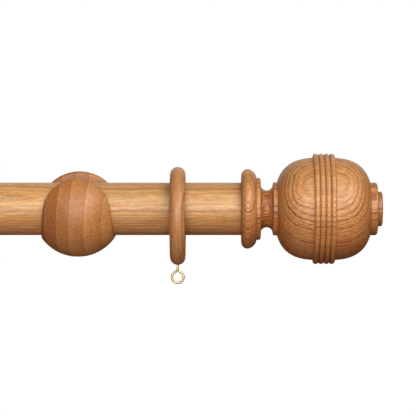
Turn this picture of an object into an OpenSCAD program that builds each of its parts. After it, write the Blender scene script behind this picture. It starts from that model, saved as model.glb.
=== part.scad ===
// Wooden curtain pole on two turned cup brackets, with a turned finial at each end and rings with screw eyes.
// The pole runs along X. The wall is the plane y = 0, the room is on the -Y side, and +Z is up.
// The origin lies on the wall, half way between the two hanger bolts that hold the brackets.

/* [Pole] */
// Length of the bare pole, without finials
pole_length = 1200; // [900:10:2400]
// Diameter of the pole
pole_d = 35; // [30:0.5:36]
// Depth of the bore in each pole end
pole_bore_depth = 32; // [28:1:60]

/* [Brackets] */
// From a pole end to the middle of its bracket
bracket_inset = 109; // [90:1:250]
// From the wall to the pole's axis
projection = 76; // [70:1:110]
// The pole's axis above the bracket's own axis
pole_rise = 2.3; // [0:0.1:4]
// Largest radius of the egg-shaped cup
cup_r = 29.7; // [28:0.1:32]
// Length of the cup's blunt front, from its widest place
cup_front = 31; // [27:0.5:36]
// Squareness of the cup's front, where 2 is an ellipse
cup_squareness = 2.15; // [2:0.05:2.4]
// Length of the cup's tapering back, from its widest place
cup_back = 54; // [50:0.5:58]
// Radius of the channel that the pole lies in
channel_r = 18.6; // [18.1:0.1:19.2]
// Radius of the rose that stands on the wall
rose_r = 25; // [22:0.5:28]
// Thickness of the rose
rose_t = 11; // [8:0.5:14]
// Radius of the neck between the rose and the cup
neck_r = 12.5; // [10:0.5:14]

/* [Rings] */
// Rings between the brackets
inner_rings = 10; // [1:1:16]
// Largest radius of a ring
ring_r = 32.75; // [30:0.25:36]
// Radius of a ring's round section
ring_section_r = 5.15; // [4:0.05:6]
// From a pole end to the ring outside the bracket
outer_ring_inset = 42.3; // [36:0.1:60]
// Radius of a screw eye's wire
wire_r = 0.75; // [0.6:0.05:1]
// Radius of a screw eye's loop, at the middle of the wire
loop_r = 3.85; // [3.2:0.05:4.5]

/* [Finials] */
// Half the length of the ball, at the axis
ball_half_length = 32.7; // [28:0.1:38]
// Radius of the ball
ball_r = 34.3; // [30:0.1:38]
// Squareness of the ball's outline, where 2 is an ellipse
ball_squareness = 3; // [2:0.1:4]
// Radius over the beads round the ball
bead_top_r = 36.85; // [35:0.05:41]
// Distance from one bead to the next
bead_pitch = 3.6; // [3:0.1:4]
// Largest radius of the collar
collar_r = 26.6; // [24:0.1:30]

/* [Hidden] */
ring_count = inner_rings + 2;
ring_numbers = [for (i = [1:ring_count]) i];
function two_digits(i) = i < 10 ? str("0", i) : str(i);
SIDES = ["left", "right"];
function on_sides(name) = [for (side = SIDES) str(name, "_", side)];

$fn = 96;

gap = 0.3;            // free space between pieces that move past each other
fit_gap = 0.05;       // running clearance of a thread, and between flat faces that butt together
cut = 1;              // how far a cutting shape runs past the face it opens
sliver = 0.01;        // keeps two points of an outline apart
quarter = 90;

// places
pole_r = pole_d / 2;
pole_end = pole_length / 2;
bracket_x = pole_end - bracket_inset;
pole_y = -projection;
pole_z = pole_rise;
ring_inner_r = ring_r - 2 * ring_section_r;
ring_z = pole_z + pole_r + gap - ring_inner_r;
ring_pitch = 2 * bracket_x / (inner_rings + 1);
function ring_x(i) =
    i == 1 ? -(pole_end - outer_ring_inset)
    : i == ring_count ? pole_end - outer_ring_inset
    : -bracket_x + ring_pitch * (i - 1);

// the cup, along its axis from the wall
cup_widest = projection - 1.5;      // the widest place lies just behind the pole's axis
neck_start = 21;
neck_end = cup_widest - cup_back * sqrt(1 - pow(neck_r / cup_r, 2));
rose_edge = 2.5;            // rounding of the rose's front edge
rose_land = 1;              // flat between that edge and the neck's flare
flare_r = rose_r - rose_edge - rose_land;
back_chamfer = 0.8;

// fixings
bolt_r = 3;                 // M6 hanger bolt
bolt_in_wall = 38;
bolt_plain = 12;
bolt_in_cup = 18;
bolt_tip = 5;
bolt_bore_depth = 20;
insert_r = 4.6;
insert_length = 16;
insert_recess = 1;
insert_slot_w = 1.2;
insert_slot_depth = 1;
thread_pitch = 1;
thread_depth = 0.5;
wood_pitch = 2.5;
wood_thread_depth = 0.9;
lead = 0.4;                 // chamfer at the free end of a thread

// retaining screw, up through the bottom of the cup
screw_r = 1.75;
screw_head_r = 3.5;
screw_length = 22;
screw_pitch = 1.4;
screw_sink = 2;             // the head lies this far inside the cup's lowest point
screw_head_t = 2.2;
screw_plain = 4;
screw_tip = 4;
screw_thread_depth = 0.5;
recess_length = 4;          // cross recess in the head
recess_w = 0.8;
recess_depth = 1.4;

// finial bolt and the insert in the pole end
finial_bolt_r = 4;          // M8
finial_bolt_pitch = 1.25;
finial_bolt_in_pole = 18;
finial_bolt_in_finial = 34;
finial_bolt_plain = 4;
finial_thread_depth = 0.6;
finial_wood_depth = 1.1;
pole_insert_r = 6;
pole_insert_length = 14;
pole_slot_w = 1.4;
pole_slot_depth = 1.2;

// finial, measured along its axis from the collar's flat face
collar_w = 10.2;
collar_crown = 4.2;
collar_edge_r = 22;
collar_squareness = 1.75;
collar_join = 84;           // angle at which the collar's two curves meet
step_w = 2.3;
step_r = 20.7;
step_edge = 0.5;
cove_lip = 7;               // height of the cove's near lip over its floor
cove_r = 4;
cove_floor = 12.3;
cove_x = 17;
fillet_start = 21.3;
fillet_end = 24.1;
fillet_r = 17.7;
fillet_edge = 0.4;
ball_x = 55;
bead_count = 4;
bead_base_r = 35.3;
bead_groove = 0.1;          // half the flat between two beads
boss_start = 86;
boss_r = 17.6;
boss_end = 90.8;
boss_edge = 1.6;
button_r = 11.6;
button_end = 94.4;
button_edge = 1.1;
seam = 0.1;                 // smallest step along an outline where two stretches meet

// Signed power, for outlines that are squarer or flatter than an ellipse.
function signed_power(v, power) = sign(v) * pow(abs(v), power);

// Points of an elliptical arc: middle, half axes, first and last angle, number of steps, squareness.
function arc(x, y, ax, ay, from, to, n, squareness = 2) =
    [for (i = [0:n]) let (a = from + (to - from) * i / n)
        [x + ax * signed_power(cos(a), 2 / squareness), y + ay * signed_power(sin(a), 2 / squareness)]];

// The ball's radius at a distance u from its middle.
function ball_radius(u) =
    ball_r * pow(max(0, 1 - pow(abs(u) / ball_half_length, ball_squareness)), 1 / ball_squareness);

// Stretch of the ball's outline between two places along the finial.
function ball_outline(from, to, n) =
    [for (i = [0:n]) let (x = from + (to - from) * i / n) [x, ball_radius(x - ball_x)]];

// Outline of a threaded rod as rings of height: [distance, radius] pairs from one end to the other.
function thread(from, to, pitch, core, crest) =
    let (turns = floor((to - from) / pitch))
    [for (i = [0:turns - 1], p = [[0, core], [pitch / 2, crest]]) [from + i * pitch + p[0], p[1]]];

// A solid of revolution about X from [x, radius] points.
module turned_x(points) {
    rotate([0, quarter, 0]) rotate([0, 0, quarter]) rotate_extrude()
        polygon([for (p = points) [p[1], p[0]]]);
}

// A solid of revolution about Y, from [distance from the wall, radius] points. It stands out towards -Y.
module turned_from_wall(points) {
    rotate([quarter, 0, 0]) rotate_extrude()
        polygon([for (p = points) [p[1], p[0]]]);
}

module at_side(side) {
    if (side == "left") mirror([1, 0, 0]) children();
    else children();
}

// Pole: one turned dowel, bored at the ends for the inserts and from below for the retaining screws.
module pole() {
    color("burlywood")
    difference() {
        translate([-pole_end, pole_y, pole_z]) rotate([0, quarter, 0])
            cylinder(h = pole_length, r = pole_r);
        for (side = SIDES) at_side(side) {
            // pocket for the threaded insert, and the narrower way on for the finial bolt
            translate([pole_end - pole_insert_length - insert_recess, pole_y, pole_z]) rotate([0, quarter, 0])
                cylinder(h = pole_insert_length + insert_recess + cut, r = pole_insert_r);
            translate([pole_end - pole_bore_depth, pole_y, pole_z]) rotate([0, quarter, 0])
                cylinder(h = pole_bore_depth, r = finial_bolt_r + gap);
            translate([bracket_x, pole_y, pole_z - pole_r - cut])
                cylinder(h = screw_length - screw_reach + cut + gap + cut, r = screw_r + gap);
        }
    }
}

// Cup bracket: rose, neck and cup are one turning. The channel is open at the top, so the pole drops in.
cup_outline = concat(
    [[0, 0], [0, rose_r - back_chamfer], [back_chamfer, rose_r]],
    arc(rose_t - rose_edge, rose_r - rose_edge, rose_edge, rose_edge, quarter, 0, 6),
    arc(neck_start, flare_r, neck_start - rose_t, flare_r - neck_r, 180, 270, 10),
    [for (i = [0:23]) let (x = neck_end + (cup_widest - neck_end) * i / 24)
        [x, cup_r * sqrt(1 - pow((cup_widest - x) / cup_back, 2))]],
    arc(cup_widest, 0, cup_front, cup_r, quarter, 0, 24, cup_squareness)
);
channel_z = pole_z - pole_r - gap + channel_r;
function cup_radius(u) = cup_r * pow(1 - pow(u / cup_front, cup_squareness), 1 / cup_squareness);
screw_foot = -cup_radius(projection - cup_widest) + screw_sink;
screw_reach = pole_z - pole_r - screw_foot;   // wood between the screw's head and the pole

module bracket_cup(side) {
    color("peru")
    at_side(side) translate([bracket_x, 0, 0])
    difference() {
        turned_from_wall(cup_outline);
        // channel and the way in from above, in one extruded outline
        translate([-cup_r - cut, pole_y, channel_z]) rotate([quarter, 0, quarter])
            linear_extrude(height = 2 * (cup_r + cut)) {
                circle(r = channel_r);
                translate([-channel_r, 0]) square([2 * channel_r, 2 * cup_r]);
            }
        // bore for the threaded insert
        translate([0, cut, 0]) rotate([quarter, 0, 0])
            cylinder(h = insert_recess + insert_length + cut, r = insert_r);
        // way on for the bolt's tip
        rotate([quarter, 0, 0]) cylinder(h = bolt_bore_depth, r = bolt_r + gap);
        // countersunk hole for the retaining screw
        translate([0, pole_y, -cup_r - cut]) cylinder(h = cup_r, r = screw_r);
        translate([0, pole_y, -cup_r - cut]) cylinder(h = screw_foot + cup_r + cut, r = screw_head_r);
        translate([0, pole_y, screw_foot]) cylinder(h = screw_head_t, r1 = screw_head_r, r2 = screw_r);
    }
}

// Threaded brass insert in the back of the bracket.
module bracket_insert(side) {
    color("gold")
    at_side(side) translate([bracket_x, -insert_recess, 0])
    difference() {
        rotate([quarter, 0, 0]) cylinder(h = insert_length, r = insert_r);
        translate([0, cut, 0]) rotate([quarter, 0, 0]) cylinder(h = insert_length + 2 * cut, r = bolt_r);
        // slot for a screwdriver
        translate([-insert_r - cut, -insert_slot_depth, -insert_slot_w / 2])
            cube([2 * (insert_r + cut), insert_slot_depth + cut, insert_slot_w]);
    }
}

// Hanger bolt: machine thread in the insert, a plain neck at the wall, and a wood thread for the wall plug.
module hanger_bolt(side) {
    core = bolt_r - thread_depth;
    wood_core = bolt_r - wood_thread_depth;
    color("silver")
    at_side(side) translate([bracket_x, 0, 0])
    turned_from_wall(concat(
        [[-bolt_in_wall, 0], [-bolt_in_wall + lead, lead]],
        [[-bolt_in_wall + bolt_tip, wood_core]],
        thread(-bolt_in_wall + bolt_tip, -bolt_plain, wood_pitch, wood_core, bolt_r),
        [[-bolt_plain, wood_core], [-bolt_plain, bolt_r], [0, bolt_r]],
        thread(sliver, bolt_in_cup - thread_pitch, thread_pitch, core, bolt_r),
        [[bolt_in_cup - thread_pitch, core], [bolt_in_cup, core - lead], [bolt_in_cup, 0]]
    ));
}

// Countersunk wood screw that keeps the pole in the cup.
module retaining_screw(side) {
    core = screw_r - screw_thread_depth;
    thread_start = screw_head_t + screw_plain;
    thread_end = screw_length - screw_tip;
    color("silver")
    at_side(side) translate([bracket_x, pole_y, screw_foot])
    difference() {
        rotate_extrude() polygon([for (p = concat(
            [[0, 0], [0, screw_head_r], [screw_head_t, screw_r]],
            [[thread_start, screw_r]],
            thread(thread_start, thread_end, screw_pitch, core, screw_r),
            [[thread_end, core], [screw_length, 0]]
        )) [p[1], p[0]]]);
        // cross recess
        for (turn = [0, quarter]) rotate([0, 0, turn])
            translate([-recess_length / 2, -recess_w / 2, -cut])
                cube([recess_length, recess_w, recess_depth + cut]);
    }
}

// Finial: collar, cove, ball with a band of beads, and a stepped button, turned from one block.
finial_outline = concat(
    [[0, 0]],
    arc(collar_crown, collar_edge_r, collar_crown, collar_r - collar_edge_r, 180, quarter, 8),
    arc(collar_crown, step_r, collar_w - collar_crown, collar_r - step_r, collar_join, 0, 12,
        collar_squareness),
    [[collar_w + step_w - step_edge, step_r], [collar_w + step_w, step_r - step_edge]],
    [[cove_x - cove_r, cove_floor + cove_lip]],
    arc(cove_x, cove_floor + cove_r, cove_r, cove_r, 180, 360, 20),
    [[fillet_start, fillet_r - fillet_edge], [fillet_start + fillet_edge, fillet_r]],
    [[fillet_end - seam, fillet_r]],
    ball_outline(fillet_end, ball_x - bead_count / 2 * bead_pitch, 22),
    [for (b = [0:bead_count - 1], p = arc(
        ball_x + (b - (bead_count - 1) / 2) * bead_pitch, bead_base_r,
        bead_pitch / 2 - bead_groove, bead_top_r - bead_base_r, 180, 0, 8)) p],
    ball_outline(ball_x + bead_count / 2 * bead_pitch, boss_start, 22),
    [[boss_start + seam, boss_r]],
    arc(boss_end - boss_edge, boss_r - boss_edge, boss_edge, boss_edge, quarter, 0, 5),
    [[boss_end, button_r]],
    arc(button_end - button_edge, button_r - button_edge, button_edge, button_edge, quarter, 0, 5),
    [[button_end, 0]]
);

module finial(side) {
    color("tan")
    at_side(side) translate([pole_end + fit_gap, pole_y, pole_z])
    difference() {
        turned_x(finial_outline);
        translate([-cut, 0, 0]) rotate([0, quarter, 0])
            cylinder(h = finial_bolt_in_finial + cut, r = finial_bolt_r);
    }
}

// Bolt fixed in the finial. Its machine thread turns in the insert in the pole end.
module finial_bolt(side) {
    core = finial_bolt_r - finial_thread_depth;
    crest = finial_bolt_r - fit_gap;
    wood_core = finial_bolt_r - finial_wood_depth;
    wood_end = finial_bolt_in_finial - bolt_tip;
    color("silver")
    at_side(side) translate([pole_end + fit_gap, pole_y, pole_z])
    turned_x(concat(
        [[-finial_bolt_in_pole, 0], [-finial_bolt_in_pole, core - lead], [-finial_bolt_in_pole + lead, core]],
        thread(-finial_bolt_in_pole + 2 * lead, 0, finial_bolt_pitch, core, crest),
        [[0, core], [lead, crest], [finial_bolt_plain, crest]],
        thread(finial_bolt_plain + sliver, wood_end - 1, wood_pitch, wood_core, crest),
        [[wood_end, wood_core], [finial_bolt_in_finial - 1, 0]]
    ));
}

// Threaded brass insert in the pole end.
module pole_insert(side) {
    color("gold")
    at_side(side) translate([pole_end - pole_insert_length - insert_recess, pole_y, pole_z])
    difference() {
        rotate([0, quarter, 0]) cylinder(h = pole_insert_length, r = pole_insert_r);
        translate([-cut, 0, 0]) rotate([0, quarter, 0])
            cylinder(h = pole_insert_length + 2 * cut, r = finial_bolt_r);
        translate([pole_insert_length - pole_slot_depth, -pole_insert_r - cut, -pole_slot_w / 2])
            cube([pole_slot_depth + cut, 2 * (pole_insert_r + cut), pole_slot_w]);
    }
}

// Screw eye, measured down from the ring's lowest point
eye_drop = 8.2;                 // to the middle of the loop
eye_swell = 0.2;                // swelling where the loop meets the shank
eye_knot = eye_drop - loop_r - 2 * eye_swell;
eye_in_ring = 8;
eye_plain = 0.5;
eye_tip = 1.5;
eye_core_r = wire_r - 0.2;
eye_pitch = 1;

// Ring: a wooden torus that hangs on the pole, drilled from below for the screw eye.
module ring(i) {
    major_r = ring_r - ring_section_r;
    color("sienna")
    translate([ring_x(i), pole_y, ring_z])
    difference() {
        rotate([0, quarter, 0]) rotate_extrude() translate([major_r, 0]) circle(r = ring_section_r);
        translate([0, 0, -ring_r - cut]) cylinder(h = eye_in_ring + cut, r = wire_r);
    }
}

// Screw eye: threaded shank in the ring, short neck, and a wire loop that faces the room.
module screw_eye(i) {
    color("khaki")
    translate([ring_x(i), pole_y, ring_z - ring_r]) {
        rotate_extrude() polygon([for (p = concat(
            [[-eye_knot, 0], [-eye_knot, wire_r], [eye_plain, wire_r]],
            thread(eye_plain, eye_in_ring - eye_tip, eye_pitch, eye_core_r, wire_r),
            [[eye_in_ring - eye_tip + sliver, eye_core_r], [eye_in_ring - gap, 0]]
        )) [p[1], p[0]]]);
        translate([0, 0, -eye_knot]) sphere(r = wire_r + eye_swell);
        translate([0, 0, -eye_drop]) rotate([quarter, 0, 0])
            rotate_extrude() translate([loop_r, 0]) circle(r = wire_r);
    }
}

pole();
for (side = SIDES) {
    bracket_cup(side);
    bracket_insert(side);
    hanger_bolt(side);
    retaining_screw(side);
    finial(side);
    finial_bolt(side);
    pole_insert(side);
}
for (i = ring_numbers) {
    ring(i);
    screw_eye(i);
}
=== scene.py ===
"""Looks of a wooden curtain pole on two cup brackets, with turned finials, rings and screw eyes.

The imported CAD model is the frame. Each piece is built again here at full smoothness, in the space of the
CAD node that it stands for, and gets a procedural material.
"""

import math

import bpy
import numpy as np
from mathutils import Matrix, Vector


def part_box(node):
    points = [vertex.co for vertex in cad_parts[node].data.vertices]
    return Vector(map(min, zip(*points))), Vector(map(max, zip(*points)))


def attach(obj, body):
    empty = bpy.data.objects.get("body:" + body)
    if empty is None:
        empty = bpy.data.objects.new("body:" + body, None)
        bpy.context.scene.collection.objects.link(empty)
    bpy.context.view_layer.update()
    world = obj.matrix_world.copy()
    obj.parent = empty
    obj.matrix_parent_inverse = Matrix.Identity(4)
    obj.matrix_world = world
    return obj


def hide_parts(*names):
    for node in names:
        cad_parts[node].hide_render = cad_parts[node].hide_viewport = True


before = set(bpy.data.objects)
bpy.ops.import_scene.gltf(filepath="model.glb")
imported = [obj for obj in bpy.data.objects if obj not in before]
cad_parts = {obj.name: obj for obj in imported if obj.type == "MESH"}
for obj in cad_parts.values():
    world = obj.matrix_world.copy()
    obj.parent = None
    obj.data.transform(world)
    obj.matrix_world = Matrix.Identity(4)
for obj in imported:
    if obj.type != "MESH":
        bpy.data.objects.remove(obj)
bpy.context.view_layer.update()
scene = bpy.context.scene

MM = 0.001
TAU = 2 * math.pi
SIDES = {"left": -1, "right": 1}
TINY = 1e-6                # millimetres: a smaller radius or a shorter stretch counts as none
SHARP = 35                 # degrees: sharper edges stay sharp
ROUNDING_SHARE = 0.48      # a corner's rounding takes no more of each side beside it
FACETS = {"pole": 160, "finial": 144, "bore": 64, "bolt": 48, "sink": 48, "screw": 40, "drill": 40}
RINGS = sorted(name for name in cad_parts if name.startswith("ring_"))


# ------------------------------------------------------------ places in the frame, in metres

def middle(node):
    low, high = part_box(node)
    return (low + high) / 2


def half_size(node):
    low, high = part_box(node)
    return (high - low) / 2


pole_middle = middle("pole")
pole_end = half_size("pole").x
pole_r = half_size("pole").z
pole_y = pole_middle.y
pole_z = pole_middle.z
bracket_x = middle("hanger_bolt_right").x


# ------------------------------------------------------------ mesh tools

def outward(points, faces):
    """The faces, turned round if they enclose a negative volume."""
    fan = np.array([(face[0], face[i], face[i + 1]) for face in faces for i in range(1, len(face) - 1)])
    a, b, c = points[fan].transpose(1, 0, 2)
    volume = (a * np.cross(b, c)).sum()
    return faces if volume > 0 else [tuple(reversed(face)) for face in faces]


def make_mesh(name, points, faces, sharp_angle=SHARP):
    """A smooth-shaded object in the row frame, with edges sharper than an angle kept sharp."""
    points = np.asarray(points, float)
    mesh = bpy.data.meshes.new(name)
    mesh.from_pydata(points.tolist(), [], outward(points, faces))
    mesh.validate()
    mesh.shade_smooth()
    mesh.set_sharp_from_angle(angle=math.radians(sharp_angle))
    obj = bpy.data.objects.new(name, mesh)
    scene.collection.objects.link(obj)
    return obj


def show(obj, body, material, slot, *nodes):
    """Gives a finished piece its material, its body and the CAD nodes that it stands for."""
    obj.data.materials.clear()
    obj.data.materials.append(material)
    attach(obj, body)
    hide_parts(*nodes)


def rounded(corners, step=0.5, arc_steps=5):
    """An outline of (distance, radius) points in millimetres.

    Each corner is (distance, radius, rounding). Corners are rounded, and long stretches are divided.
    """
    out = []
    for i, (x, r, rounding) in enumerate(corners):
        here = np.array((x, r))
        if rounding == 0 or i in (0, len(corners) - 1):
            out.append(here)
            continue
        before = np.array(corners[i - 1][:2]) - here
        after = np.array(corners[i + 1][:2]) - here
        one, two = np.linalg.norm(before), np.linalg.norm(after)
        reach = min(rounding, ROUNDING_SHARE * one, ROUNDING_SHARE * two)
        start = here + before / one * reach
        end = here + after / two * reach
        for k in range(arc_steps + 1):
            t = k / arc_steps
            out.append((1 - t) ** 2 * start + 2 * t * (1 - t) * here + t ** 2 * end)
    return divided(out, step)


def divided(points, step):
    """The same line with extra points, so that none are further apart than step."""
    out = [np.array(points[0], float)]
    for point in points[1:]:
        start = out[-1]
        gap = np.linalg.norm(np.array(point) - start)
        if gap < TINY:
            continue
        count = max(1, math.ceil(gap / step))
        out.extend(start + (np.array(point) - start) * k / count for k in range(1, count + 1))
    return out


def turned(outline, segments, place, along, relief=None):
    """Points and faces of a turned solid.

    The outline is (distance, radius) in millimetres, from one end on the axis to the other. relief, if
    given, adds to the radius at (distance, turns) for threads.
    """
    along = Vector(along).normalized()
    upright = abs(along.z) > 0.9
    across = Vector((1, 0, 0)) if upright else Vector((0, 0, 1))
    third = along.cross(across)
    turns = np.arange(segments) / segments
    ring = np.outer(np.cos(turns * TAU), across) + np.outer(np.sin(turns * TAU), third)
    points, rows = [], []
    for distance, radius in outline:
        centre = np.array(Vector(place) + along * distance * MM)
        if radius < TINY:
            rows.append([len(points)])
            points.append(centre)
            continue
        radii = np.full(segments, radius)
        if relief is not None:
            radii = radii + relief(distance, turns)
        rows.append(list(range(len(points), len(points) + segments)))
        points.extend(centre + ring * radii[:, None] * MM)
    faces = []
    for one, two in zip(rows, rows[1:]):
        for i in range(segments):
            j = (i + 1) % segments
            if len(one) == 1:
                faces.append((one[0], two[i], two[j]))
            elif len(two) == 1:
                faces.append((one[i], two[0], one[j]))
            else:
                faces.append((one[i], two[i], two[j], one[j]))
    return points, faces


CAP_DOME = 0.15            # height of a wire's end over its radius


def swept(path, radius, sides, relief):
    """Points and faces of a round wire along a path in metres, with a slightly domed cap at each end.

    relief adds to the radius at (number of the path's point, turns).
    """
    path = [np.array(p, float) for p in path]
    tangents = []
    for i in range(len(path)):
        ahead = path[min(i + 1, len(path) - 1)] - path[max(i - 1, 0)]
        tangents.append(ahead / np.linalg.norm(ahead))
    normal = np.cross(tangents[0], (0.0, 1.0, 0.0))
    turns = np.arange(sides) / sides * TAU
    points, faces = [], []
    for i, (centre, tangent) in enumerate(zip(path, tangents)):
        normal = normal - tangent * np.dot(normal, tangent)
        normal /= np.linalg.norm(normal)
        side = np.cross(tangent, normal)
        width = radius + relief(i, turns / TAU)
        ring = np.outer(np.cos(turns), normal) + np.outer(np.sin(turns), side)
        points.extend(centre + ring * width[:, None])
    for row in range(len(path) - 1):
        a, b = row * sides, (row + 1) * sides
        faces.extend(
            (a + i, a + (i + 1) % sides, b + (i + 1) % sides, b + i) for i in range(sides))
    for row, way in ((0, -1), (len(path) - 1, 1)):
        tip = len(points)
        points.append(path[row] + tangents[row] * way * radius * CAP_DOME)
        a = row * sides
        faces.extend((tip, a + (i + 1) % sides, a + i)[::way] for i in range(sides))
    return points, faces


def mixed_cells(inside):
    """Which cells of a grid have corners both inside and outside."""
    count = np.zeros(np.array(inside.shape) - 1, int)
    wide, deep, high = count.shape
    for i in (0, 1):
        for j in (0, 1):
            for k in (0, 1):
                count += inside[i:wide + i, j:deep + j, k:high + k]
    return (count > 0) & (count < 8)


def edge_quads(inside, number):
    """A four-sided face, of numbered cells, round each grid edge that crosses the surface."""
    quads = []
    for d in range(3):
        one = [slice(1, -1)] * 3
        two = [slice(1, -1)] * 3
        one[d], two[d] = slice(0, -1), slice(1, None)
        a, b = inside[tuple(one)], inside[tuple(two)]
        for start_inside in (True, False):
            edges = np.argwhere((a != b) & (a == start_inside))
            edges[:, [e for e in range(3) if e != d]] += 1
            e, f = [(1, 2), (2, 0), (0, 1)][d]
            corners = []
            for de, df in ((0, 0), (-1, 0), (-1, -1), (0, -1)):
                cell = edges.copy()
                cell[:, e] += de
                cell[:, f] += df
                corners.append(number[tuple(cell.T)])
            quad = np.stack(corners, 1)
            quads.append(quad if start_inside else quad[:, ::-1])
    quads = np.concatenate(quads)
    return quads[(quads >= 0).all(1)]


def relaxed(points, ends):
    """The points, each moved half way to the middle of those at the other ends of its edges."""
    total = np.zeros_like(points)
    share = np.zeros(len(points))
    np.add.at(total, ends[:, 0], points[ends[:, 1]])
    np.add.at(share, ends[:, 0], 1)
    return 0.5 * points + 0.5 * total / np.maximum(share, 1)[:, None]


def surface_of(field, low, high, step, rounds=4):
    """Points and faces, in millimetres, of the surface where a field of x, y, z is zero."""
    axes = [np.arange(a - 2 * step, b + 2 * step, step) for a, b in zip(low, high)]
    inside = field(*np.meshgrid(*axes, indexing="ij")) < 0
    mixed = mixed_cells(inside)
    number = np.full(mixed.shape, -1)
    number[mixed] = np.arange(mixed.sum())
    cells = np.argwhere(mixed)
    points = np.stack([axes[d][cells[:, d]] + step / 2 for d in range(3)], 1)
    quads = edge_quads(inside, number)
    ends = np.concatenate([quads[:, [i, (i + 1) % 4]] for i in range(4)])
    for turn in range(rounds + 1):
        if turn:
            points = relaxed(points, ends)
        for _ in range(3):
            points = onto_surface(field, points, step)
    return points, quads.tolist()


def onto_surface(field, points, step):
    """One Newton step that brings points onto the zero of the field."""
    reach = 0.05           # millimetres to each side, for the slope
    least_slope = 0.05     # of its square, so that a flat spot makes no leap
    value = field(*points.T)
    slope = np.stack([
        (field(*(points + way).T) - field(*(points - way).T)) / (2 * reach)
        for way in np.eye(3) * reach
    ], 1)
    move = value / np.maximum((slope ** 2).sum(1), least_slope)
    return points - slope * np.clip(move, -step, step)[:, None]


def outline_distance(outline, xs, rs):
    """Signed distance from a closed outline at each (x, r) of a table. It is negative inside."""
    px, pr = np.meshgrid(xs, rs, indexing="ij")
    nearest = np.full(px.shape, np.inf)
    inside = np.zeros(px.shape, bool)
    for (ax, ar), (bx, br) in zip(outline, outline[1:] + outline[:1]):
        dx, dr = bx - ax, br - ar
        square = dx * dx + dr * dr
        if square < TINY ** 2:
            continue
        t = np.clip(((px - ax) * dx + (pr - ar) * dr) / square, 0, 1)
        nearest = np.minimum(nearest, np.hypot(px - ax - t * dx, pr - ar - t * dr))
        crosses = (ar > pr) != (br > pr)
        inside ^= crosses & (px < ax + (pr - ar) * dx / (dr or 1))
    return np.where(inside, -nearest, nearest)


def cut_away(obj, points, faces):
    """Takes a closed cutting shape out of an object."""
    cutter = make_mesh("cutter", points, faces)
    boolean = obj.modifiers.new("cut", "BOOLEAN")
    boolean.operation = "DIFFERENCE"
    boolean.solver = "EXACT"
    boolean.object = cutter
    bpy.context.view_layer.update()
    graph = bpy.context.evaluated_depsgraph_get()
    mesh = bpy.data.meshes.new_from_object(obj.evaluated_get(graph))
    obj.modifiers.clear()
    obj.data = mesh
    mesh.shade_smooth()
    mesh.set_sharp_from_angle(angle=math.radians(SHARP))
    bpy.data.objects.remove(cutter)


# ------------------------------------------------------------ material tools

def srgb(*display):
    """A linear colour from three 8-bit display values."""
    linear = [((c / 255 + 0.055) / 1.055) ** 2.4 if c > 10 else c / 255 / 12.92 for c in display]
    return (*linear, 1.0)


class Nodes:
    """Short calls for building one material's nodes."""

    def __init__(self, name):
        self.material = bpy.data.materials.new(name)
        self.material.use_nodes = True
        self.tree = self.material.node_tree
        self.tree.nodes.clear()

    def put(self, socket, value):
        """Links an output to a socket, or sets the socket to a constant."""
        if isinstance(value, bpy.types.NodeSocket):
            self.tree.links.new(value, socket)
        else:
            socket.default_value = value

    def add(self, kind, values=None, **settings):
        node = self.tree.nodes.new(kind)
        for key, value in settings.items():
            setattr(node, key, value)
        for key, value in (values or {}).items():
            self.put(node.inputs[key], value)
        return node

    def math(self, operation, *values, clamp=False):
        values = dict(enumerate(values))
        return self.add("ShaderNodeMath", values, operation=operation, use_clamp=clamp).outputs[0]

    def times(self, *values):
        """The product of two or more values."""
        product = values[0]
        for value in values[1:]:
            product = self.math("MULTIPLY", product, value)
        return product

    def vector(self, operation, *values):
        values = dict(enumerate(values))
        return self.add("ShaderNodeVectorMath", values, operation=operation).outputs[0]

    def scaled(self, vector, x, y, z):
        """The vector, with each part multiplied by its own number."""
        return self.vector("MULTIPLY", vector, (x, y, z))

    def centred(self, colour, *size):
        """Noise about nought, of a size in each direction."""
        return self.vector("MULTIPLY", self.vector("SUBTRACT", colour, (0.5, 0.5, 0.5)), size)

    def noise(self, vector, scale=1.0, detail=2.0, roughness=0.5):
        return self.add("ShaderNodeTexNoise", {
            "Vector": vector, "Scale": scale, "Detail": detail, "Roughness": roughness, "Lacunarity": 2.0,
        })

    def ramp(self, value, stops):
        """A grey ramp. Each stop is (position, grey)."""
        node = self.add("ShaderNodeValToRGB", {"Fac": value})
        ramp = node.color_ramp
        ramp.interpolation = "EASE"
        while len(ramp.elements) < len(stops):
            ramp.elements.new(0.5)
        for element, (position, level) in zip(ramp.elements, stops):
            element.position = position
            element.color = (level, level, level, 1)
        return node.outputs["Color"]

    def remap(self, value, low, high, new_low=0.0, new_high=1.0):
        """The value moved from one range to another, and kept in it."""
        return self.add("ShaderNodeMapRange", {
            "Value": value, "From Min": low, "From Max": high, "To Min": new_low, "To Max": new_high,
        }, clamp=True).outputs["Result"]

    def mix(self, factor, a, b, blend="MIX"):
        """A blend of two colours. A mix node's inputs 6 and 7 and its output 2 are the coloured ones."""
        values = {0: factor, 6: a, 7: b}
        node = self.add("ShaderNodeMix", values, data_type="RGBA", blend_type=blend, clamp_factor=True)
        return node.outputs[2]

    def finish(self, **inputs):
        """The shader and the output. Names use _ for a space."""
        inputs = {name.replace("_", " "): value for name, value in inputs.items()}
        shader = self.add("ShaderNodeBsdfPrincipled", inputs)
        out = self.add("ShaderNodeOutputMaterial")
        self.tree.links.new(shader.outputs[0], out.inputs[0])
        return self.material


# ------------------------------------------------------------ wood

def grain_space(n, along, facing, through, depth):
    """Millimetres along the grain and twice across it, from the tree's middle line."""
    turn = Vector(along).normalized().to_track_quat("X", "Z").inverted().to_matrix()
    shift = turn @ (Vector(through) - Vector(facing).normalized() * depth)
    return n.add("ShaderNodeMapping", {
        "Vector": n.add("ShaderNodeTexCoord").outputs["Object"],
        "Location": (-shift.x, -shift.y, -shift.z),
        "Rotation": turn.to_euler(),
        "Scale": (1 / MM, 1 / MM, 1 / MM),
    }, vector_type="POINT").outputs[0]


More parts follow.
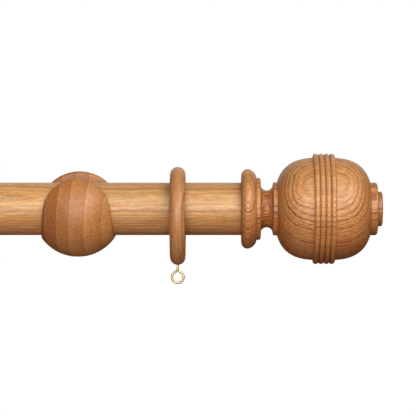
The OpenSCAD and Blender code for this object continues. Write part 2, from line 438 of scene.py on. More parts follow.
DRIFT = 6.0                # millimetres by which the rings drift, and by which they ripple
RIPPLE = 2.2


def wandering(n, grain, wander):
    """The grain space of a trunk that isn't straight: the rings drift slowly and ripple a little."""
    drift = n.noise(n.scaled(grain, 0.005, 0.014, 0.014), detail=1.0).outputs["Color"]
    drift = n.centred(drift, 0, DRIFT * wander, DRIFT * wander)
    ripple = n.noise(n.scaled(grain, 0.03, 0.11, 0.11), detail=4.0, roughness=0.6).outputs["Color"]
    ripple = n.centred(ripple, 0, RIPPLE * wander, RIPPLE * wander)
    return n.vector("ADD", grain, n.vector("ADD", drift, ripple))


def growth_rings(n, bent, gap, uneven):
    """Distance from the tree's middle, place in the growth ring from 0 to 1, and the ring's vigour."""
    flat = n.vector("MULTIPLY", bent, (0, 1, 1))
    radius = n.add("ShaderNodeVectorMath", {0: flat}, operation="LENGTH").outputs["Value"]
    count = n.math("DIVIDE", radius, gap)
    slow = n.math("MULTIPLY", count, 0.37)
    step = n.add("ShaderNodeTexNoise", {"W": slow, "Scale": 1.0, "Detail": 1.0}, noise_dimensions="1D")
    count = n.math("MULTIPLY_ADD", step.outputs[0], uneven, count)
    whole = n.math("FLOOR", count)
    vigour = n.add("ShaderNodeTexWhiteNoise", {"W": whole}, noise_dimensions="1D").outputs["Value"]
    return radius, n.math("FRACT", count), vigour


PORES = 0.5                # how far the pores take their colour
GROUND_ROUGH = 0.46        # roughness of the wood under the lacquer, which varies by ROUGH_PLAY
ROUGH_PLAY = 0.06
PORE_ROUGH = 0.2
COAT_ROUGH = 0.42


def wood(name, *, along, facing, through, depth, gap, light, dark, line, line_shape, line_strength,
         heart_and_shade, heart_and_shade_strength=0.0, wander, uneven=1.5, streaks=0.16, blotches=0.08, flecks=0.08,
         pores_dark=True, coat):
    """Solid wood, coloured in the piece's own space, in millimetres.

    along is the grain's direction. The growth rings lie round the tree's middle line, which is depth behind
    the point through, and facing leads from it to that point. gap is the width of a growth ring, and uneven
    is by how many rings that varies. wander is how far the rings stray.

    light and dark shade the wood, and line colours the early wood of each ring, which line_shape places in
    the ring and line_strength blends in. heart holds two distances from the tree's middle: towards the first
    the wood is darker, by heart_and_shade_strength, and its lines are stronger. This is darker wood near the
    pith and
    painted shade at once: the tree's middle is placed so that the undersides, and the brackets' left sides,
    come out darker, as if in shade. streaks, blotches and flecks are how far the brightness varies along the
    fibres, slowly and in short marks. The pores take the line's colour if pores_dark, or else the dark one.
    coat is the weight of the lacquer.
    """
    n = Nodes(name)
    grain = grain_space(n, along, facing, through, depth)
    bent = wandering(n, grain, wander)
    radius, phase, vigour = growth_rings(n, bent, gap, uneven)

    # fibres and pores, long along the grain and fine across it
    fibre = n.noise(n.scaled(bent, 0.06, 1.3, 1.3), detail=4.0, roughness=0.65).outputs[0]
    hair = n.noise(n.scaled(bent, 0.16, 2.6, 2.6), detail=3.0, roughness=0.65).outputs[0]
    vessel = n.noise(n.scaled(bent, 0.30, 3.2, 3.2), detail=1.0).outputs[0]
    fleck = n.noise(n.scaled(bent, 0.14, 0.7, 0.7), detail=2.0).outputs[0]
    cloud = n.noise(n.scaled(grain, 0.012, 0.06, 0.06), detail=1.0).outputs[0]
    early = n.ramp(phase, line_shape)
    pore = n.times(n.remap(vessel, 0.56, 0.68), n.remap(early, 0.0, 1.0, 0.3, 1.0))

    # shade within a ring and along the fibres, and darker towards the tree's middle: partly darker wood near
    # the pith, partly painted shade on the undersides and the brackets' left sides
    late = n.remap(phase, 0.2, 1.0)
    shade = n.math("ADD", n.times(late, 0.30), n.remap(fibre, 0.34, 0.66, -0.1, 0.6))
    shade = n.math("ADD", shade, n.remap(radius, *heart_and_shade, heart_and_shade_strength, 0.0))
    colour = n.mix(shade, light, dark)

    # growth lines, which differ from ring to ring and break up
    strong = n.remap(n.times(vigour, vigour), 0.0, 1.0, 0.6, 1.4)
    fine = n.remap(hair, 0.36, 0.60, 0.7, 1.4)
    broken = n.remap(fleck, 0.36, 0.58, 0.55, 1.3)
    # lines grow stronger towards the tree's middle, which also darkens the undersides as painted shade
    heart_and_shade_lines = n.remap(radius, *heart_and_shade, 1.15, 0.38)
    band = n.times(early, strong, fine, broken, heart_and_shade_lines)
    colour = n.mix(n.math("MULTIPLY", band, line_strength, clamp=True), colour, line)

    # brightness that varies along the fibres, slowly and in short marks
    streak = n.remap(hair, 0.3, 0.7, 1 - streaks, 1 + streaks)
    blotch = n.remap(cloud, 0.3, 0.7, 1 - blotches, 1 + blotches)
    mark = n.remap(fleck, 0.35, 0.65, 1 - flecks, 1 + flecks)
    level = n.times(streak, blotch, mark)
    grey = n.add("ShaderNodeCombineColor", {0: level, 1: level, 2: level}).outputs[0]
    colour = n.mix(1.0, colour, grey, "MULTIPLY")
    colour = n.mix(n.times(pore, PORES), colour, line if pores_dark else dark)

    # lacquer that sinks a little into the pores
    roughness = n.remap(fibre, 0.2, 0.8, GROUND_ROUGH - ROUGH_PLAY, GROUND_ROUGH + ROUGH_PLAY)
    roughness = n.math("ADD", roughness, n.times(pore, PORE_ROUGH))
    height = n.math("SUBTRACT", n.times(hair, 0.4), n.math("ADD", pore, n.times(band, 0.4)))
    bump = n.add("ShaderNodeBump", {"Height": height, "Strength": 0.35, "Distance": 0.00008})
    return n.finish(Base_Color=colour, Roughness=roughness, Normal=bump.outputs[0],
                    Coat_Weight=coat, Coat_Roughness=COAT_ROUGH, Coat_IOR=1.5, Specular_IOR_Level=0.6)


# Each growth ring from its start to its end, as (place, strength of the line's colour).
FINE_LINE = [(0.0, 1.0), (0.16, 1.0), (0.36, 0.4), (0.60, 0.0), (0.88, 0.0), (1.0, 1.0)]
THIN_LINE = [(0.0, 1.0), (0.05, 0.6), (0.13, 0.0), (0.95, 0.0), (1.0, 1.0)]

finial_middle = middle("finial_right")

# The tree's middle lies below and behind the pole, so the darkening towards it paints shade on the pole's
# underside, beside real darker wood.
pole_wood = wood(
    "pole_wood",
    along=(1, 0.004, 0.012), facing=(0, -0.88, 0.47), through=(0, pole_y / MM, pole_z / MM),
    depth=75, gap=1.0,
    light=srgb(214, 182, 130), dark=srgb(186, 122, 60), line=srgb(128, 66, 24),
    line_shape=FINE_LINE, line_strength=0.8,
    heart_and_shade=(70, 91), heart_and_shade_strength=0.5, wander=0.6, blotches=0.06, coat=0.35)

# The tree's middle lies below and behind each finial, so the darkening towards it paints shade on the
# underside of the ball and collar, beside real darker wood.
finial_wood = {
    side: wood(
        f"finial_wood_{side}",
        along=(1, 0.03, 0.02), facing=(-0.05, -0.86, 0.50),
        through=(sign * finial_middle.x / MM, pole_y / MM, pole_z / MM),
        depth=150.6, gap=1.55,
        light=srgb(217, 174, 118), dark=srgb(172, 100, 44), line=srgb(108, 48, 14),
        line_shape=FINE_LINE, line_strength=1.0,
        heart_and_shade=(146, 184), heart_and_shade_strength=0.45, wander=1.1, coat=0.4)
    for side, sign in SIDES.items()
}

# The tree's middle lies far to the left of each cup, so the darkening towards it paints shade on the left
# side and leaves the right side lighter, as if lit from the right.
bracket_wood = {
    side: wood(
        f"bracket_wood_{side}",
        along=(0.22, 1, 0.03), facing=(1, -0.22, -0.09),
        through=(sign * bracket_x / MM, pole_y / MM, 0),
        depth=394.5, gap=9.5,
        light=srgb(194, 144, 92), dark=srgb(150, 92, 44), line=srgb(212, 168, 118),
        line_shape=THIN_LINE, line_strength=0.45,
        heart_and_shade=(370, 420), heart_and_shade_strength=0.5, wander=0.8, uneven=0.3,
        streaks=0.12, flecks=0.06, pores_dark=False, coat=0.15)
    for side, sign in SIDES.items()
}

ring_wood = wood(
    "ring_wood",
    along=(0.10, 0.30, 1), facing=(0, -1, 0.2), through=(0, pole_y / MM, 0),
    depth=90, gap=1.6,
    light=srgb(200, 154, 104), dark=srgb(162, 102, 50), line=srgb(100, 48, 18),
    line_shape=FINE_LINE, line_strength=0.8,
    heart_and_shade=(80, 110), wander=1.2, coat=0.6)


# ------------------------------------------------------------ metals

MARKS_SCALE = 3.0          # for each millimetre
TARNISH_SCALE = MARKS_SCALE * 0.12
TARNISH_ROUGH = 0.12


def metal(name, bright, dull, rough):
    """Metal with faint marks all over and a little tarnish."""
    n = Nodes(name)
    place = n.scaled(n.add("ShaderNodeTexCoord").outputs["Object"], 1 / MM, 1 / MM, 1 / MM)
    marks = n.noise(place, scale=MARKS_SCALE, detail=3.0).outputs[0]
    tarnish = n.noise(place, scale=TARNISH_SCALE, detail=2.0).outputs[0]
    tarnish = n.remap(tarnish, 0.40, 0.70)
    colour = n.mix(tarnish, bright, dull)
    roughness = n.remap(marks, 0.3, 0.7, rough - 0.06, rough + 0.08)
    roughness = n.math("ADD", roughness, n.times(tarnish, TARNISH_ROUGH))
    bump = n.add("ShaderNodeBump", {"Height": marks, "Strength": 0.12, "Distance": 0.00003})
    return n.finish(Base_Color=colour, Metallic=1.0, Roughness=roughness, Normal=bump.outputs[0])


brass = metal("brass", srgb(206, 186, 138), srgb(150, 126, 82), 0.20)
steel = metal("zinc_plated_steel", srgb(200, 200, 198), srgb(150, 150, 148), 0.28)


# ------------------------------------------------------------ pole

# Measures of the pieces are in millimetres from here on.
INSERT_R = 6.0             # pocket for the brass insert in each end, and the bolt's bore beyond it
INSERT_POCKET = 15.0
BOLT_BORE_R = 4.3
BOLT_BORE_DEPTH = 32.0
SCREW_HOLE_R = 2.05
SCREW_HOLE_TOP = -6.3      # above the pole's axis
CUT_PAST = 1               # a cut starts this far outside


def make_pole():
    end = pole_end / MM
    r = pole_r / MM
    half = [
        (end - BOLT_BORE_DEPTH, 0, 0), (end - BOLT_BORE_DEPTH, BOLT_BORE_R, 0),
        (end - INSERT_POCKET, BOLT_BORE_R, 0.1), (end - INSERT_POCKET, INSERT_R, 0.1),
        (end, INSERT_R, 0.3), (end, r, 0.35),
    ]
    outline = rounded([(-x, radius, e) for x, radius, e in half] + half[::-1], step=4.0, arc_steps=4)
    pole = make_mesh("pole", *turned(outline, FACETS["pole"], (0, pole_y, pole_z), (1, 0, 0)))
    for sign in SIDES.values():
        start = (sign * bracket_x, pole_y, pole_z - (r + CUT_PAST) * MM)
        depth = r + SCREW_HOLE_TOP + CUT_PAST
        drill = [(0, 0), (0, SCREW_HOLE_R), (depth, SCREW_HOLE_R), (depth + 1, 0)]
        cut_away(pole, *turned(drill, FACETS["drill"], start, (0, 0, 1)))
    show(pole, "pole", pole_wood, "pole_wood", "pole")


make_pole()


# ------------------------------------------------------------ finials

COLLAR_W = 10.2
COLLAR_CROWN = 4.2
COLLAR_R = 26.6
COLLAR_EDGE_R = 22.0
COLLAR_SQUARE = 1.75
COLLAR_TURN = 84           # degrees round its oval at which the collar's front starts
STEP_END = 12.5
STEP_R = 20.7
COVE_X = 17.0
COVE_R = 4.0
COVE_FLOOR = 12.3
FILLET_START = 21.3
FILLET_END = 24.1
FILLET_R = 17.7
BALL_X = 55.0
BALL_HALF = 32.7
BALL_R = 34.3
BALL_SQUARE = 3.0
BEADS = 4
BEAD_PITCH = 3.6
BEAD_TOP = 36.82
BEAD_BASE = 35.3
BEAD_HALF = BEAD_PITCH / 2 - 0.08
BEAD_SQUARE = 2.3
BAND_GAP = 0.1             # between the band of beads and the ball's surface
BOSS_START = 86.0
BOSS_END = 90.8
BOSS_R = 17.6
BUTTON_END = 94.4
BUTTON_R = 11.6
FINIAL_BORE_R = 4.0
FINIAL_BORE_DEPTH = 34.0


def arc(x, r, ax, ar, start, end, steps, square=2.0):
    """Corners, without rounding, along part of an oval about (x, r) with half axes ax and ar.

    The part runs between two angles in degrees. square is 2 for an ellipse and more for a squarer oval.
    """
    out = []
    for i in range(steps + 1):
        a = math.radians(start + (end - start) * i / steps)
        c, s = math.cos(a), math.sin(a)
        out.append((x + ax * math.copysign(abs(c) ** (2 / square), c),
                    r + ar * math.copysign(abs(s) ** (2 / square), s), 0))
    return out


def ball(start, end, steps=60):
    """Corners along the ball between two places along the finial."""
    out = []
    for i in range(steps + 1):
        x = start + (end - start) * i / steps
        u = abs(x - BALL_X) / BALL_HALF
        out.append((x, BALL_R * (1 - u ** BALL_SQUARE) ** (1 / BALL_SQUARE), 0))
    return out


def finial_outline():
    band = BEADS / 2 * BEAD_PITCH
    beads = []
    for b in range(BEADS):
        middle_x = BALL_X + (b + 0.5) * BEAD_PITCH - band
        beads += arc(middle_x, BEAD_BASE, BEAD_HALF, BEAD_TOP - BEAD_BASE, 180, 0, 14, BEAD_SQUARE)
    corners = (
        [(FINIAL_BORE_DEPTH, 0, 0), (FINIAL_BORE_DEPTH, FINIAL_BORE_R, 0), (0, FINIAL_BORE_R, 0.3)]
        + arc(COLLAR_CROWN, COLLAR_EDGE_R, COLLAR_CROWN, COLLAR_R - COLLAR_EDGE_R, 180, 90, 20)
        + arc(COLLAR_CROWN, STEP_R, COLLAR_W - COLLAR_CROWN, COLLAR_R - STEP_R,
              COLLAR_TURN, 0, 24, COLLAR_SQUARE)
        + [(STEP_END, STEP_R, 0.7), (COVE_X - COVE_R, COVE_FLOOR + 7, 0.3)]
        + arc(COVE_X, COVE_FLOOR + COVE_R, COVE_R, COVE_R, 180, 360, 30)
        + [(FILLET_START, FILLET_R, 0.5), (FILLET_END - 0.15, FILLET_R, 0.3)]
        + ball(FILLET_END, BALL_X - band - BAND_GAP)
        + beads
        + ball(BALL_X + band + BAND_GAP, BOSS_START)
        + [(BOSS_START + 0.1, BOSS_R, 0.2), (BOSS_END, BOSS_R, 1.9), (BOSS_END, BUTTON_R, 0.15)]
        + [(BUTTON_END - 0.35, BUTTON_R, 1.2), (BUTTON_END, 0, 0)]
    )
    return rounded(corners, step=0.5)


def make_finial(side):
    low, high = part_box(f"finial_{side}")
    sign = SIDES[side]
    face = (low.x if sign > 0 else high.x, pole_y, pole_z)
    name = f"finial_{side}"
    piece = make_mesh(name, *turned(finial_outline(), FACETS["finial"], face, (sign, 0, 0)))
    show(piece, name, finial_wood[side], "finial_wood", name)


for side in SIDES:
    make_finial(side)


# ------------------------------------------------------------ threaded pieces

def ridge(distance, turns, pitch, start, end, height, sharpness):
    """Height of a helical thread at a distance and round the turn. It fades in and out at its ends."""
    if not start < distance < end:
        return np.zeros_like(turns)
    fade = min(1.0, (distance - start) / pitch, (end - distance) / pitch)
    t = (distance / pitch - turns) % 1.0
    return height * fade * np.clip((1 - np.abs(2 * t - 1)) * sharpness - (sharpness - 1), 0, 1)


M8_PITCH = 1.25
M6_PITCH = 1.0
COARSE_PITCH = 2.5         # of wood threads in bolts
SCREW_PITCH = 1.4
MACHINE_SHARP = 1.0        # how much narrower than its pitch a ridge is
COARSE_SHARP = 2.2
SCREW_SHARP = 2.0
THREAD_STEP = 0.14
SCREW_STEP = 0.12
POINT_SLOPE = 0.2          # how fast a thread grows from a screw's point


def make_finial_bolt(side):
    """An M8 thread for the pole's insert, a plain stretch and a wood thread in the finial."""
    name = f"finial_bolt_{side}"
    low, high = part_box(name)
    sign = SIDES[side]
    tip = low.x if sign > 0 else high.x
    in_pole = (pole_end - abs(tip)) / MM
    length = (high.x - low.x) / MM
    core, crest, wood_core = 3.35, 3.95, 2.9
    plain_end = in_pole + 4
    wood_start = in_pole + 5
    outline = rounded([
        (0, 0, 0), (0, core - 0.5, 0.1), (0.6, core, 0.1), (in_pole, core, 0.1),
        (in_pole + 0.4, crest, 0.1), (plain_end, crest, 0.1),
        (wood_start, wood_core, 0.1), (length - 4, wood_core, 0.1), (length, 0, 0),
    ], step=THREAD_STEP)

    def relief(distance, turns):
        fine = ridge(distance, turns, M8_PITCH, 0.4, in_pole - 0.4, crest - core, MACHINE_SHARP)
        rise = crest - wood_core
        coarse = ridge(distance, turns, COARSE_PITCH, wood_start, length - 3, rise, COARSE_SHARP)
        return fine + coarse

    start = (tip, pole_y, pole_z)
    piece = make_mesh(name, *turned(outline, FACETS["bolt"], start, (sign, 0, 0), relief))
    show(piece, name, steel, "steel", name)


def make_hanger_bolt(side):
    """A wood thread for the wall plug, a plain stretch and an M6 thread for the bracket's insert."""
    name = f"hanger_bolt_{side}"
    low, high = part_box(name)
    in_wall = high.y / MM
    length = (high.y - low.y) / MM
    core, crest, wood_core = 2.5, 3.0, 2.1
    plain_start = in_wall - 12.0
    outline = rounded([
        (0, 0, 0), (5, wood_core, 0.3), (plain_start - 0.8, wood_core, 0.2),
        (plain_start, crest, 0.2), (in_wall, crest, 0.2),
        (in_wall + 0.5, core, 0.1), (length - 0.5, core, 0.1), (length, core - 0.5, 0.1), (length, 0, 0),
    ], step=THREAD_STEP)

    def relief(distance, turns):
        rise = min(crest - wood_core, distance * POINT_SLOPE)
        coarse = ridge(distance, turns, COARSE_PITCH, 2.5, plain_start - 0.5, rise, COARSE_SHARP)
        start, end = in_wall + 0.4, length - 0.2
        return coarse + ridge(distance, turns, M6_PITCH, start, end, crest - core, MACHINE_SHARP)

    wall_end = (SIDES[side] * bracket_x, high.y, 0)
    piece = make_mesh(name, *turned(outline, FACETS["bolt"], wall_end, (0, -1, 0), relief))
    show(piece, "brackets", steel, "steel", name)


def box_about(foot, half_x, half_y, bottom, top):
    """Points and faces of a box about a place in metres, with its measures in millimetres."""
    corners = ((-half_x, -half_y), (half_x, -half_y), (half_x, half_y), (-half_x, half_y))
    points = np.array([(x, y, z) for z in (bottom, top) for x, y in corners])
    faces = [(0, 3, 2, 1), (4, 5, 6, 7), (0, 1, 5, 4), (1, 2, 6, 5), (2, 3, 7, 6), (3, 0, 4, 7)]
    return np.array(foot) + points * MM, faces


SCREW_HEAD_T = 2.2
SCREW_SHANK_R = 1.75
RECESS_LONG = 2.0          # half lengths of the cross in the head
RECESS_WIDE = 0.4
RECESS_DEEP = 1.3


def make_retaining_screw(side):
    """A countersunk wood screw that points up, with a cross in its head."""
    name = f"retaining_screw_{side}"
    low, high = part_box(name)
    length = (high.z - low.z) / MM
    head_r, core = 3.45, 1.25
    shank_end = SCREW_HEAD_T + 4
    outline = rounded([
        (0, 0, 0), (0, head_r, 0.15), (SCREW_HEAD_T, SCREW_SHANK_R, 0.3), (shank_end, SCREW_SHANK_R, 0.2),
        (SCREW_HEAD_T + 4.5, core, 0.1), (length - 4, core, 0.1), (length, 0, 0),
    ], step=SCREW_STEP)

    def relief(distance, turns):
        rise = min(SCREW_SHANK_R - core, (length - distance) * POINT_SLOPE)
        return ridge(distance, turns, SCREW_PITCH, shank_end, length - 1, rise, SCREW_SHARP)

    foot = (SIDES[side] * bracket_x, pole_y, low.z)
    piece = make_mesh(name, *turned(outline, FACETS["screw"], foot, (0, 0, 1), relief))
    for half_x, half_y in ((RECESS_LONG, RECESS_WIDE), (RECESS_WIDE, RECESS_LONG)):
        cut_away(piece, *box_about(foot, half_x, half_y, -CUT_PAST, RECESS_DEEP))
    show(piece, "brackets", steel, "steel", name)


for side in SIDES:
    make_finial_bolt(side)
    make_hanger_bolt(side)
    make_retaining_screw(side)


# ------------------------------------------------------------ brackets

CUP_WIDEST = 74.5
CUP_R = 29.7
CUP_FRONT = 31.0
CUP_BACK = 54.0
CUP_SQUARE = 2.15
NECK_R = 12.5
NECK_START = 21.0
ROSE_R = 25.0
SHOULDER_R = ROSE_R - 3.5  # where the hollow from the rose to the neck starts
ROSE_T = 11.0
CHANNEL_R = 18.6
CHANNEL_UNDER = 0.3        # play between the pole at rest and the lowest line of the channel's circle
RIM_ROUND = 2.4
CUP_CELL = 0.72            # size of the grid from which the cup's surface is made
POCKET_R = 4.6             # pocket for the brass insert, and the bolt's bore beyond it
POCKET_END = 18
BORE_R = 3.3
BORE_END = 21
SINK_R = 3.5               # countersunk hole for the retaining screw, cut from below the cup
DRILL_START = -32
DRILL_LENGTH = 18          # above the screw's foot


def cup_outline():
    """Closed outline of the bracket before the channel is cut, in (distance from the wall, radius)."""
    neck_end = CUP_WIDEST - CUP_BACK * math.sqrt(1 - (NECK_R / CUP_R) ** 2)
    back = [neck_end + (CUP_WIDEST - neck_end) * i / 60 for i in range(3, 60)]
    corners = (
        [(0, 0, 0), (0, ROSE_R, 1.4), (ROSE_T, ROSE_R, 3.2)]
        + arc(NECK_START, SHOULDER_R, NECK_START - ROSE_T, SHOULDER_R - NECK_R, 180, 270, 24)
        + [(neck_end, NECK_R, 1.6)]
        + [(x, CUP_R * math.sqrt(1 - ((CUP_WIDEST - x) / CUP_BACK) ** 2), 0) for x in back]
        + arc(CUP_WIDEST, 0, CUP_FRONT, CUP_R, 90, 0, 60, CUP_SQUARE)
    )
    return [tuple(p) for p in rounded(corners, step=1.0)]


def cup_field(channel_z):
    """Signed distance, in millimetres, to the cup: x across, y from the wall, z up."""
    gap = 0.25
    margin = 6
    ys = np.arange(-margin, CUP_WIDEST + CUP_FRONT + margin, gap)
    rs = np.arange(-1, CUP_R + 8, gap)
    outline = cup_outline()
    mirror = [(x, -r) for x, r in reversed(outline)]
    table = outline_distance(outline + mirror, ys, rs)
    middle_y = -pole_y / MM

    def field(x, y, z):
        r = np.hypot(x, z)
        u = np.clip((y - ys[0]) / gap, 0, len(ys) - 1.001)
        v = np.clip((r - rs[0]) / gap, 0, len(rs) - 1.001)
        i, j = u.astype(int), v.astype(int)
        u, v = u - i, v - j
        outer = ((table[i, j] * (1 - v) + table[i, j + 1] * v) * (1 - u)
                 + (table[i + 1, j] * (1 - v) + table[i + 1, j + 1] * v) * u)
        across = y - middle_y
        down = np.minimum(z - channel_z, 0)
        channel = CHANNEL_R - np.hypot(across, down)
        a = np.maximum(outer + RIM_ROUND, 0)
        b = np.maximum(channel + RIM_ROUND, 0)
        return np.minimum(np.maximum(outer, channel), -RIM_ROUND) + np.hypot(a, b)

    return field


channel_z = (pole_z - pole_r) / MM - CHANNEL_UNDER + CHANNEL_R
cup_low = (-CUP_R, 0, -CUP_R)
cup_high = (CUP_R, CUP_WIDEST + CUP_FRONT, CUP_R)
cup_points, cup_faces = surface_of(cup_field(channel_z), cup_low, cup_high, CUP_CELL)


def make_cup(side):
    name = f"bracket_cup_{side}"
    x = SIDES[side] * bracket_x
    cup = make_mesh(name, cup_points * (1, -1, 1) * MM + (x, 0, 0), cup_faces)
    bore = [
        (0, 0), (0, POCKET_R), (POCKET_END, POCKET_R),
        (POCKET_END, BORE_R), (BORE_END, BORE_R), (BORE_END, 0),
    ]
    cut_away(cup, *turned(bore, FACETS["bore"], (x, CUT_PAST * MM, 0), (0, -1, 0)))
    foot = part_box(f"retaining_screw_{side}")[0].z / MM - DRILL_START
    end = foot + DRILL_LENGTH
    drill = [
        (0, 0), (0, SINK_R), (foot, SINK_R),
        (foot + SCREW_HEAD_T, SCREW_SHANK_R), (end, SCREW_SHANK_R), (end, 0),
    ]
    cut_away(cup, *turned(drill, FACETS["sink"], (x, pole_y, DRILL_START * MM), (0, 0, 1)))
    show(cup, "brackets", bracket_wood[side], "bracket_wood", name)


for side in SIDES:
    make_cup(side)


# ------------------------------------------------------------ rings and screw eyes

def make_ring(node):
    centre = middle(node)
    half = half_size(node)
    section = half.x
    major = half.z - section
    rows, columns = 160, 56
    points = []
    faces = []
    for i in range(rows):
        a = i / rows * TAU
        out = Vector((0, math.sin(a), math.cos(a)))
        here, after = i * columns, (i + 1) % rows * columns
        for j in range(columns):
            b = j / columns * TAU
            sideways = Vector((section * math.sin(b), 0, 0))
            points.append(centre + out * (major + section * math.cos(b)) + sideways)
            k = (j + 1) % columns
            faces.append((here + j, here + k, after + k, after + j))
    show(make_mesh(node, points, faces), node, ring_wood, "ring_wood", node)


WIRE_R = 0.75
WIRE_SIDES = 28
WIRE_STEP = 0.08
LOOP_STEPS = 120
BEND_STEPS = 16
LEAN = math.radians(30)    # half the opening at the top of a screw eye's loop
NECK_LENGTH = 2.2          # plain wire between the ring and the loop
EYE_PITCH = 1.0
EYE_THREAD = 0.2           # depth of the thread, which is cut into the wire
EYE_SHARP = 1.6
THREAD_BELOW = 0.5         # where in the ring the thread starts
POINT_LENGTH = 1.5
POINT_THIN = 0.4


def bend(start, start_way, end_way, end):
    """Places along a cubic curve, without its ends."""
    out = []
    for i in range(1, BEND_STEPS):
        t = i / BEND_STEPS
        weights = [(1 - t) ** 3, 3 * t * (1 - t) ** 2, 3 * t * t * (1 - t), t ** 3]
        places = list(zip(weights, (start, start_way, end_way, end)))
        out.append(tuple(sum(weight * place[d] for weight, place in places) for d in (0, 1)))
    return out


def eye_path(top, loop_middle, loop_r, neck):
    """Route of the wire in x and z, in millimetres: down to the neck, round the loop and back up."""
    stem = [(0.0, top - i * WIRE_STEP) for i in range(int((top - neck) / WIRE_STEP) + 1)]
    start = math.radians(90) + LEAN
    angles = [start + (TAU - 2 * LEAN) * i / LOOP_STEPS for i in range(LOOP_STEPS + 1)]
    loop = [(loop_r * math.cos(a), loop_middle + loop_r * math.sin(a)) for a in angles]
    apex = loop_middle + loop_r / math.cos(LEAN)
    into_loop = bend((0.0, neck), (0.0, apex + 0.5), (-0.5, apex - 0.25), loop[0])
    x, z = loop[-1]
    tail = [(x + (0.42 - x) * t, z + (apex - 0.15 - z) * t) for t in (0.25, 0.5, 0.75, 1.0)]
    return stem + into_loop + loop + tail


def make_eye(node):
    ring = node.replace("screw_eye", "ring")
    low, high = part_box(node)
    centre = (low + high) / 2
    bottom, top = low.z / MM, high.z / MM
    loop_r = (high.x - low.x) / 2 / MM - WIRE_R
    loop_middle = bottom + WIRE_R + loop_r
    ring_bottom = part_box(ring)[0].z / MM
    route = eye_path(top, loop_middle, loop_r, ring_bottom - NECK_LENGTH)
    path = [(centre.x + x * MM, centre.y, z * MM) for x, z in route]

    def relief(i, turns):
        z = route[i][1]
        t = (z / EYE_PITCH + turns) % 1.0
        threaded = min(1.0, max(0.0, z - ring_bottom - THREAD_BELOW))
        point = max(0.0, POINT_LENGTH - (top - z)) / POINT_LENGTH
        crest = np.clip((1 - np.abs(2 * t - 1)) * EYE_SHARP - (EYE_SHARP - 1), 0, 1)
        return -(EYE_THREAD * threaded * (1 - crest) + POINT_THIN * point) * MM

    piece = make_mesh(node, *swept(path, WIRE_R * MM, WIRE_SIDES, relief), sharp_angle=50)
    show(piece, ring, brass, "brass", node)


for ring in RINGS:
    make_ring(ring)
    make_eye(ring.replace("ring", "screw_eye"))


# ------------------------------------------------------------ inserts, which keep their CAD shape

for side in SIDES:
    for node in (f"bracket_insert_{side}", f"pole_insert_{side}"):
        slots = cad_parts[node].data.materials
        if len(slots):
            slots[0] = brass
        else:
            slots.append(brass)


# ------------------------------------------------------------ camera, light and floor

CAMERA_DISTANCE = 1.522    # metres from the pole's axis
CAMERA_IN = 22.1 * MM      # inside the pole's right-hand end
CAMERA_UP = 0.6 * MM       # above the pole's axis
LENS = 197.05
SENSOR = 36.0

# Each light's way from the right-hand end of the pole, its distance, its width and its power.
KEY = (Vector((0.56, -0.62, 0.55)), 3.0, 2.0, 48)
FILL = (Vector((-0.04, -0.98, 0.19)), 3.2, 3.4, 104)
BACK = (Vector((0.0, 0.90, 0.40)), 3.4, 4.0, 28)
LIGHT_COLOUR = (1.0, 0.985, 0.96)
AIM_IN = 0.05              # the lights point this far inside the end
SKY = (0.24, 0.20, 0.16)   # light from above SKY_LEVEL, which fades to GROUND at GROUND_LEVEL
GROUND = (0.18, 0.10, 0.05)
GROUND_LEVEL = -0.3
SKY_LEVEL = 0.8
CONTRAST = 0.87            # display gamma, under 1 for the crisp look of a product picture


def add_camera():
    data = bpy.data.cameras.new("camera")
    data.lens = LENS
    data.sensor_width = SENSOR
    data.clip_start = 0.05
    data.clip_end = 50
    camera = bpy.data.objects.new("camera", data)
    camera.location = (pole_end - CAMERA_IN, pole_y - CAMERA_DISTANCE, pole_z + CAMERA_UP)
    camera.rotation_euler = (math.radians(90), 0, 0)
    scene.collection.objects.link(camera)
    scene.camera = camera


def add_area(name, place, aim, size, power):
    data = bpy.data.lights.new(name, "AREA")
    data.shape = "DISK"
    data.size = size
    data.energy = power
    data.color = LIGHT_COLOUR
    light = bpy.data.objects.new(name, data)
    light.location = place
    light.rotation_euler = (Vector(aim) - Vector(place)).to_track_quat("-Z", "Y").to_euler()
    scene.collection.objects.link(light)


def add_lights():
    aim = Vector((pole_end - AIM_IN, pole_y, pole_z))
    for name, (way, distance, size, power) in (("key", KEY), ("fill", FILL), ("back", BACK)):
        add_area(name, aim + way * distance, aim, size, power)


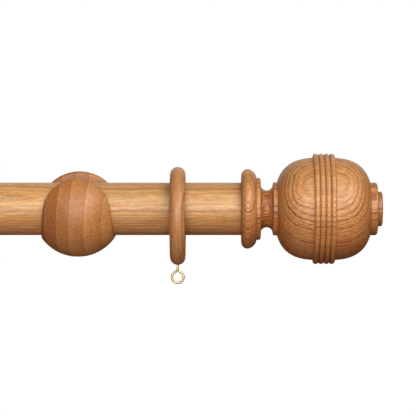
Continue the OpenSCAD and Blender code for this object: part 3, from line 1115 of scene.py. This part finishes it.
def add_world():
    """A white room. The camera sees it at full white, and it lights the object less, mostly from above."""
    world = bpy.data.worlds.new("room")
    scene.world = world
    world.use_nodes = True
    tree = world.node_tree
    tree.nodes.clear()
    new, link = tree.nodes.new, tree.links.new
    way = new("ShaderNodeSeparateXYZ")
    link(new("ShaderNodeTexCoord").outputs["Generated"], way.inputs[0])
    level = new("ShaderNodeMapRange")
    link(way.outputs["Z"], level.inputs["Value"])
    level.inputs["From Min"].default_value = GROUND_LEVEL
    level.inputs["From Max"].default_value = SKY_LEVEL
    tint = new("ShaderNodeMix")
    tint.data_type = "RGBA"
    link(level.outputs["Result"], tint.inputs["Factor"])
    tint.inputs["A"].default_value = (*GROUND, 1)
    tint.inputs["B"].default_value = (*SKY, 1)
    room = new("ShaderNodeBackground")
    link(tint.outputs["Result"], room.inputs["Color"])
    seen = new("ShaderNodeBackground")
    seen.inputs["Color"].default_value = (1, 1, 1, 1)
    mix = new("ShaderNodeMixShader")
    link(new("ShaderNodeLightPath").outputs["Is Camera Ray"], mix.inputs[0])
    link(room.outputs[0], mix.inputs[1])
    link(seen.outputs[0], mix.inputs[2])
    link(mix.outputs[0], new("ShaderNodeOutputWorld").inputs[0])


FLOOR_R = 1.0              # metres
FLOOR_Z = -1.5
FLOOR_SIDES = 96


def add_floor():
    """A pale disc well below the pole, out of the main picture."""
    n = Nodes("floor_paint")
    place = n.add("ShaderNodeTexCoord").outputs["Object"]
    cloud = n.noise(place, scale=3.0, detail=2.0).outputs[0]
    colour = n.mix(n.remap(cloud, 0.3, 0.7), srgb(226, 212, 195), srgb(232, 220, 205))
    material = n.finish(Base_Color=colour, Roughness=0.8)
    angles = np.arange(FLOOR_SIDES) / FLOOR_SIDES * TAU
    points = [(FLOOR_R * math.cos(a), FLOOR_R * math.sin(a), FLOOR_Z) for a in angles]
    mesh = bpy.data.meshes.new("floor")
    mesh.from_pydata(points, [], [tuple(range(FLOOR_SIDES))])
    mesh.materials.append(material)
    floor = bpy.data.objects.new("floor", mesh)
    scene.collection.objects.link(floor)


add_camera()
add_lights()
add_world()
add_floor()
scene.view_settings.view_transform = "Standard"
scene.view_settings.look = "None"
scene.view_settings.gamma = CONTRAST
